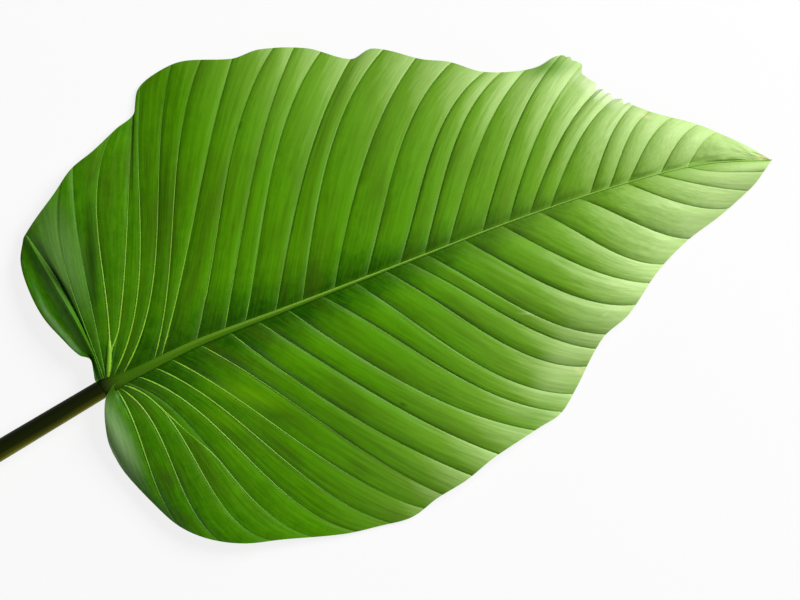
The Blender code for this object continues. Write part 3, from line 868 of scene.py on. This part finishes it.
shade = add_node(tree, "ShaderNodeMath", {0: shade, 1: along}, operation="ADD")
greens = add_node(tree, "ShaderNodeValToRGB", {"Fac": shade})
set_ramp(greens, RIB_GREENS)
fibre_bump = add_node(
    tree, "ShaderNodeBump", {"Height": fibres.outputs["Fac"], "Strength": 0.4, "Distance": 0.2 * MM}
)
# Painted highlight: the rib's left side is lighter, as if lit from there.
lit_crest = add_node(tree, "ShaderNodeMapRange", {
    "Value": aside, "From Min": -0.2, "From Max": 0.4, "To Max": 1,
}, interpolation_type="SMOOTHSTEP")
lit_crest_past_base = add_node(tree, "ShaderNodeMapRange", {
    "Value": along, "From Min": 0.05, "From Max": 0.4, "To Max": 0.7,
})
lit_crest = add_node(tree, "ShaderNodeMath", {0: lit_crest, 1: lit_crest_past_base}, operation="MULTIPLY")
lit_crested = add_node(
    tree, "ShaderNodeMix", {0: lit_crest, 6: greens.outputs["Color"], 7: linear(RIB_LIT_CREST_GREEN)},
    data_type="RGBA",
)
rib_wax = add_node(tree, "ShaderNodeBsdfPrincipled", {
    "Base Color": lit_crested.outputs[2], "Roughness": 0.42, "IOR": WAX_IOR, "Specular IOR Level": 0.2,
    "Normal": fibre_bump,
})
add_node(tree, "ShaderNodeOutputMaterial", {"Surface": rib_wax})

midrib = loft("midrib", rings, {"along": (x / BLADE_LENGTH)[:, None], "aside": np.cos(around)[None]})
midrib.data.materials.append(rib_skin)
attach(midrib, "root")
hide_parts("leaf_blade")

# ---------------------------------------------------------------------------------------------------------
# Side veins. Bundles of pipes and fibre that fork off the midrib and bend towards the tip. They stand out on
# the upper face near the old base, and sink into the tissue towards the margins and the tip.
VEIN_BASE_RADIUS = 0.55 * MM
VEIN_END_RADIUS = 0.28 * MM
VEIN_TIP_SHARE = 0.45
VEIN_STANDS_OUT_TO = 110 * MM
VEIN_SWELLS_BY = 0.05
# Veins that share their start with the one before them: side and vein, and how far out they part. One vein is
# a thick trunk as far as its fork.
SHARED_STARTS = {(1, 5): 0.13, (-1, 4): 0.34, (1, 10): 0.1}
TRUNK_VEIN = (1, 4)
TRUNK_ENDS_AT = 0.17
TRUNK_SWELL = 2.5
VEIN_SIDES = 8
# The veins that start this near the stalk come out of the tissue a little way along.
FAN_LENGTH = 8 * MM
VEIN_EMERGES_AT = 0.08
# The veins of each half that barely show.
HIDDEN_VEINS = {1: (1, 2, 3), -1: ()}
HIDDEN_SHARE = 0.2
VEIN_ENDS_AT = 0.985
VEIN_THINS_POWER = 0.8
VEIN_STARTS_AT_SHARE = 0.4


def vein_lines():
    """The side veins' middle lines, as loose edges, with each point's reach, radius and how pale it is."""
    points, edges = [], []
    values = {name: [] for name in ("vein", "reach", "spacing", "relief", "radius", "bright")}
    for side, half in blade_halves.items():
        rows = half["reach"] <= VEIN_ENDS_AT
        reach = half["reach"][rows]
        for column in range(len(ACROSS_PLEAT), len(half["numbers"]) - 1, len(ACROSS_PLEAT)):
            root = half["root_x"][column]
            base = len(points)
            line = half["points"][column, rows]
            vein = (side, half["numbers"][column])
            if vein in SHARED_STARTS:
                parted = np.clip(reach / SHARED_STARTS[vein] - 0.5, 0, 1)[:, None]
                parted = parted ** 2 * (3 - 2 * parted)
                partner = half["points"][column - len(ACROSS_PLEAT), rows]
                line = parted * line + (1 - parted) * partner
            points += (line + np.array(leaf_joint)).tolist()
            edges += [(base + step, base + step + 1) for step in range(len(reach) - 1)]
            size = 1 - (1 - VEIN_TIP_SHARE) * root / BLADE_LENGTH
            bright = np.clip(1.2 - root / VEIN_STANDS_OUT_TO, 0, 1) * (1 - reach ** 2)
            bright = bright * np.clip(reach / (VEIN_EMERGES_AT if root < FAN_LENGTH else 0.01), 0, 1)
            if vein[1] in HIDDEN_VEINS[side]:
                bright = bright * HIDDEN_SHARE
            values["vein"] += [half["numbers"][column] + FIRST_VEIN[side]] * len(reach)
            values["reach"] += reach.tolist()
            values["spacing"] += half["spacing"][column, rows].tolist()
            values["relief"] += [half["relief"][column]] * len(reach)
            thin = VEIN_END_RADIUS + (VEIN_BASE_RADIUS - VEIN_END_RADIUS) * (1 - reach) ** VEIN_THINS_POWER
            swollen = np.clip(reach / VEIN_SWELLS_BY, 0, 1)
            thin = thin * (VEIN_STARTS_AT_SHARE + (1 - VEIN_STARTS_AT_SHARE) * swollen)
            if vein == TRUNK_VEIN:
                thin = thin * (1 + (TRUNK_SWELL - 1) * np.clip(4 - 4 * reach / TRUNK_ENDS_AT, 0, 1))
                bright = np.maximum(bright, np.clip(reach / 0.02, 0, 1) * (1 - reach))
            values["radius"] += (size * thin).tolist()
            values["bright"] += bright.tolist()
    mesh = bpy.data.meshes.new("side_vein_lines")
    mesh.from_pydata(points, edges, [])
    for name, numbers in values.items():
        mesh.attributes.new(name, "FLOAT", "POINT").data.foreach_set("value", numbers)
    return mesh


# The veins' tree lifts their lines with the same rule as the tissue, sinks them where they don't stand out,
# and sweeps a round section along them. The two depths are shares of the vein's radius.
VEIN_SUNK = -0.75
VEIN_STANDING_OUT = -0.1
vein_tree, given, result = start_tree("side veins", [
    ("Sheet", "NodeSocketGeometry"), *LIFT_INPUTS, ("Sides", "NodeSocketInt"), ("Skin", "NodeSocketMaterial"),
])
raised = lift_points(vein_tree, given)
radius = add_node(vein_tree, "GeometryNodeInputNamedAttribute", {"Name": "radius"}, data_type="FLOAT")
bright = add_node(vein_tree, "GeometryNodeInputNamedAttribute", {"Name": "bright"}, data_type="FLOAT")
sink = add_node(
    vein_tree, "ShaderNodeMapRange", {"Value": bright, "To Min": VEIN_SUNK, "To Max": VEIN_STANDING_OUT}
)
sink = add_node(vein_tree, "ShaderNodeMath", {0: sink, 1: radius}, operation="MULTIPLY")
sink = add_node(vein_tree, "ShaderNodeCombineXYZ", {"Z": sink})
sunk = add_node(vein_tree, "GeometryNodeSetPosition", {"Geometry": raised, "Offset": sink})
lines = add_node(vein_tree, "GeometryNodeMeshToCurve", {"Mesh": sunk})
section = add_node(
    vein_tree, "GeometryNodeCurvePrimitiveCircle", {"Resolution": given.outputs["Sides"], "Radius": 1}
)
swept = add_node(
    vein_tree, "GeometryNodeCurveToMesh",
    {"Curve": lines, "Profile Curve": section, "Scale": radius, "Fill Caps": True},
)
smooth = add_node(vein_tree, "GeometryNodeSetShadeSmooth", {"Geometry": swept})
real = add_node(vein_tree, "GeometryNodeRealizeInstances", {"Geometry": smooth})
skinned = add_node(
    vein_tree, "GeometryNodeSetMaterial", {"Geometry": real, "Material": given.outputs["Skin"]}
)
vein_tree.links.new(skinned.outputs[0], result.inputs[0])

# Vein skin: clear watery tissue over pale fibre, a bright yellow-green where a vein stands out and the
# blade's own green where it sinks in.
VEIN_GREENS = [(0.0, "4a860c"), (0.5, "649f1a"), (1.0, "82b62a")]
VEIN_MOTTLE_SIZE = 4 * MM
vein_skin, tree = start_material("watery_yellow_green_vein")
bright_at = add_node(tree, "ShaderNodeAttribute", attribute_name="bright").outputs["Fac"]
greens = add_node(tree, "ShaderNodeValToRGB", {"Fac": bright_at})
set_ramp(greens, VEIN_GREENS)
vein_coords = add_node(tree, "ShaderNodeTexCoord").outputs["Object"]
mottle = add_node(
    tree, "ShaderNodeTexNoise", {"Vector": vein_coords, "Scale": 1 / VEIN_MOTTLE_SIZE, "Detail": 2}
)
mottle = add_node(
    tree, "ShaderNodeMapRange", {"Value": mottle.outputs["Fac"], "To Min": 0.8, "To Max": 1.2}
)
mottled = add_node(tree, "ShaderNodeHueSaturation", {"Color": greens.outputs["Color"], "Value": mottle})
vein_wax = add_node(tree, "ShaderNodeBsdfPrincipled", {
    "Base Color": mottled, "Roughness": 0.4, "IOR": WAX_IOR, "Specular IOR Level": 0.25,
})
add_node(tree, "ShaderNodeOutputMaterial", {"Surface": vein_wax})

veins = grow("side_veins", vein_lines(), vein_tree, {**LIFT_VALUES, "Sides": VEIN_SIDES, "Skin": vein_skin})
veins.data.transform(Matrix.Translation(drop))
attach(veins, "root")
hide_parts("leaf_blade")

# ---------------------------------------------------------------------------------------------------------
# Stalk. One fibrous round rod, a little flattened on its upper side, which the blade grew on. It was cut
# straight across with a knife, and its thicker cut end rests on the surface.
STALK_LENGTH = 130 * MM
STALK_CUT_DIAMETER = 11.5 * MM
STALK_TURN = math.radians(12)
CLEARANCE = 0.3 * MM
JOINT_OVERLAP = 0.6 * MM
STALK_RINGS = 90
STALK_SIDES = 40
CUT_ROUNDING = 0.4 * MM
LIP_RINGS = 4
CUT_RINGS = 9
STALK_FLAT = 0.06

share = np.linspace(0, 1, STALK_RINGS)
stalk_end = CLEARANCE + STALK_LENGTH
back = (stalk_end + JOINT_OVERLAP - CUT_ROUNDING) * share - JOINT_OVERLAP
radius = (STALK_JOINT_DIAMETER * (1 - share) + STALK_CUT_DIAMETER * share) / 2

# The cut end: a small rounded lip, then rings that close over the cut face towards its middle.
lip = np.linspace(0, math.pi / 2, LIP_RINGS + 1)[1:]
back = np.concatenate([back, back[-1] + CUT_ROUNDING * np.sin(lip), np.full(CUT_RINGS, stalk_end)])
lip_radius = STALK_CUT_DIAMETER / 2 - CUT_ROUNDING * (1 - np.cos(lip))
face_radius = lip_radius[-1] * np.linspace(1, 0, CUT_RINGS + 1)[1:]
radius = np.concatenate([radius, lip_radius, face_radius])
cut_share = np.concatenate([np.zeros(STALK_RINGS + len(lip)), np.ones(CUT_RINGS)])
run = np.clip(back / STALK_LENGTH, 0, 1)
around = np.linspace(0, 2 * math.pi, STALK_SIDES, endpoint=False)
flatten = 1 - STALK_FLAT * np.clip(np.sin(around), 0, 1) ** 3
turn = np.where(run > 0, STALK_TURN, 0)[:, None]
centre_up = STALK_JOINT_HEIGHT + drop.z + (STALK_CUT_DIAMETER / 2 - STALK_JOINT_HEIGHT - drop.z) * run
sideways = radius[:, None] * np.cos(around)[None]
upwards = radius[:, None] * np.sin(around)[None] * flatten[None]
rings = np.stack([
    -back[:, None] * math.cos(STALK_TURN) - sideways * np.sin(turn),
    -back[:, None] * math.sin(STALK_TURN) + sideways * np.cos(turn),
    centre_up[:, None] + upwards,
], axis=2)
rings = rings + np.array(leaf_joint)

# Stalk skin: hard, dark olive and finely ribbed lengthwise, with a satin wax. One side is painted a yellower
# olive, as light catching its edge.
# The cut face is cream-green pith with darker dots, which are the cut pipes.
STALK_OLIVES_AND_LIT_RIM = [(0.0, "8a8a14"), (0.12, "4a4c08"), (0.35, "1a2002"), (1.0, "0e1601")]
PITH_GREEN = "b9c68a"
PIPE_GREEN = "75883c"
PIPE_SPACING = 1.1 * MM
RIBS_AROUND = 30
RIBS_ALONG = 6
stalk_skin, tree = start_material("waxy_dark_olive_stalk_skin")
coords = add_node(tree, "ShaderNodeTexCoord")
from_lit_rim = add_node(tree, "ShaderNodeAttribute", attribute_name="across").outputs["Fac"]
along_stalk = add_node(tree, "ShaderNodeAttribute", attribute_name="along").outputs["Fac"]
rib_turn = add_node(tree, "ShaderNodeAttribute", attribute_name="turn").outputs["Fac"]
cut = add_node(tree, "ShaderNodeAttribute", attribute_name="cut").outputs["Fac"]
rib_coords = add_node(tree, "ShaderNodeCombineXYZ", {"X": rib_turn, "Y": along_stalk})
rib_coords = add_node(
    tree, "ShaderNodeMapping", {"Vector": rib_coords, "Scale": (RIBS_AROUND, RIBS_ALONG, 1)}
)
ribs = add_node(tree, "ShaderNodeTexNoise", {"Vector": rib_coords, "Scale": 1, "Detail": 3})
olive = add_node(
    tree, "ShaderNodeMath", {0: ribs.outputs["Fac"], 1: 0.16, 2: -0.08}, operation="MULTIPLY_ADD"
)
# Low on one side: that side is painted a yellower olive, as light catching its edge.
olive = add_node(tree, "ShaderNodeMath", {0: olive, 1: from_lit_rim}, operation="ADD")
olives_and_lit_rim = add_node(tree, "ShaderNodeValToRGB", {"Fac": olive})
set_ramp(olives_and_lit_rim, STALK_OLIVES_AND_LIT_RIM)
pipes = add_node(
    tree, "ShaderNodeTexVoronoi", {"Vector": coords.outputs["Object"], "Scale": 1 / PIPE_SPACING}
)
pipe_dots = add_node(tree, "ShaderNodeMapRange", {
    "Value": pipes.outputs["Distance"], "From Min": 0.2, "From Max": 0.35, "To Min": 1, "To Max": 0,
})
pith = add_node(
    tree, "ShaderNodeMix", {0: pipe_dots, 6: linear(PITH_GREEN), 7: linear(PIPE_GREEN)}, data_type="RGBA"
)
stalk_colour = add_node(
    tree, "ShaderNodeMix", {0: cut, 6: olives_and_lit_rim.outputs["Color"], 7: pith.outputs[2]}, data_type="RGBA"
)
rib_bump = add_node(
    tree, "ShaderNodeBump", {"Height": ribs.outputs["Fac"], "Strength": 0.5, "Distance": 0.25 * MM}
)
stalk_wax = add_node(tree, "ShaderNodeBsdfPrincipled", {
    "Base Color": stalk_colour.outputs[2], "Roughness": 0.5, "IOR": WAX_IOR, "Specular IOR Level": 0.1,
    "Normal": rib_bump,
})
add_node(tree, "ShaderNodeOutputMaterial", {"Surface": stalk_wax})

stalk = loft("stalk", rings, {
    "along": run[:, None],
    "across": (0.5 + 0.5 * np.cos(around))[None],
    "turn": (around / (2 * math.pi))[None],
    "cut": cut_share[:, None],
})
stalk.data.materials.append(stalk_skin)
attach(stalk, "root")
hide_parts("leaf_stalk")

# ---------------------------------------------------------------------------------------------------------
# Floor. A plain white studio table, lit from inside so that shadows on it stay faint.
FLOOR_HALF_SIZE = 30.0
FLOOR_WHITE = "6a6a6a"
FLOOR_GLOW = 0.82
FLOOR_MIST_PER_METRE = 8
floor_mesh = bpy.data.meshes.new("floor")
floor_corners = ((-1, -1, 0), (1, -1, 0), (1, 1, 0), (-1, 1, 0))
floor_mesh.from_pydata([Vector(corner) * FLOOR_HALF_SIZE for corner in floor_corners], [], [(0, 1, 2, 3)])
floor = bpy.data.objects.new("floor", floor_mesh)
bpy.context.scene.collection.objects.link(floor)
table, tree = start_material("lit_white_acrylic_table")
mist = add_node(tree, "ShaderNodeTexCoord").outputs["Object"]
mist = add_node(tree, "ShaderNodeTexNoise", {"Vector": mist, "Scale": FLOOR_MIST_PER_METRE})
mist = add_node(tree, "ShaderNodeMapRange", {"Value": mist.outputs["Fac"], "To Min": 0.55, "To Max": 0.6})
acrylic = add_node(tree, "ShaderNodeBsdfPrincipled", {
    "Base Color": linear(FLOOR_WHITE), "Roughness": mist, "Specular IOR Level": 0.2,
    "Emission Color": (1, 1, 1, 1), "Emission Strength": FLOOR_GLOW,
})
add_node(tree, "ShaderNodeOutputMaterial", {"Surface": acrylic})
floor_mesh.materials.append(table)

# ---------------------------------------------------------------------------------------------------------
# Light. A large soft panel low beyond the leaf's tip and left margin, a weak one opposite, and a dim room.
def light_panel(name, azimuth, elevation, distance, size, power):
    """A square soft light that faces the leaf, from this direction and distance."""
    lamp = bpy.data.lights.new(name, "AREA")
    lamp.size = size
    lamp.energy = power
    panel = bpy.data.objects.new(name, lamp)
    bpy.context.scene.collection.objects.link(panel)
    level = distance * math.cos(math.radians(elevation))
    place = Vector((
        level * math.cos(math.radians(azimuth)), level * math.sin(math.radians(azimuth)),
        distance * math.sin(math.radians(elevation)),
    ))
    panel.location = place
    panel.rotation_euler = (-place).to_track_quat("-Z", "Y").to_euler()


light_panel("key_light", azimuth=15, elevation=34, distance=2.4, size=1.4, power=90)
light_panel("fill_light", azimuth=200, elevation=35, distance=2.0, size=1.4, power=9)

ROOM_LIGHT = 0.04
room = bpy.data.worlds.new("room")
bpy.context.scene.world = room
room.use_nodes = True
background = room.node_tree.nodes["Background"]
background.inputs["Color"].default_value = (1, 1, 1, 1)
background.inputs["Strength"].default_value = ROOM_LIGHT

# ---------------------------------------------------------------------------------------------------------
# Camera. Straight above the leaf, turned so that the stalk comes in from the left and the tip points right
# and a little up.
CAMERA_HEIGHT = 2.0
CAMERA_LENS = 180
CAMERA_TURN = math.radians(-18.87)
CAMERA_OVER_LEAF = Vector((154.3 * MM, -6.2 * MM, 5 * MM))
eye = bpy.data.cameras.new("camera")
eye.lens = CAMERA_LENS
eye.sensor_width = 36
eye.clip_end = 20
camera = bpy.data.objects.new("camera", eye)
bpy.context.scene.collection.objects.link(camera)
camera.location = leaf_joint + CAMERA_OVER_LEAF + Vector((0, 0, CAMERA_HEIGHT))
camera.rotation_euler = (0, 0, CAMERA_TURN)
bpy.context.scene.camera = camera
bpy.context.scene.view_settings.view_transform = "Standard"
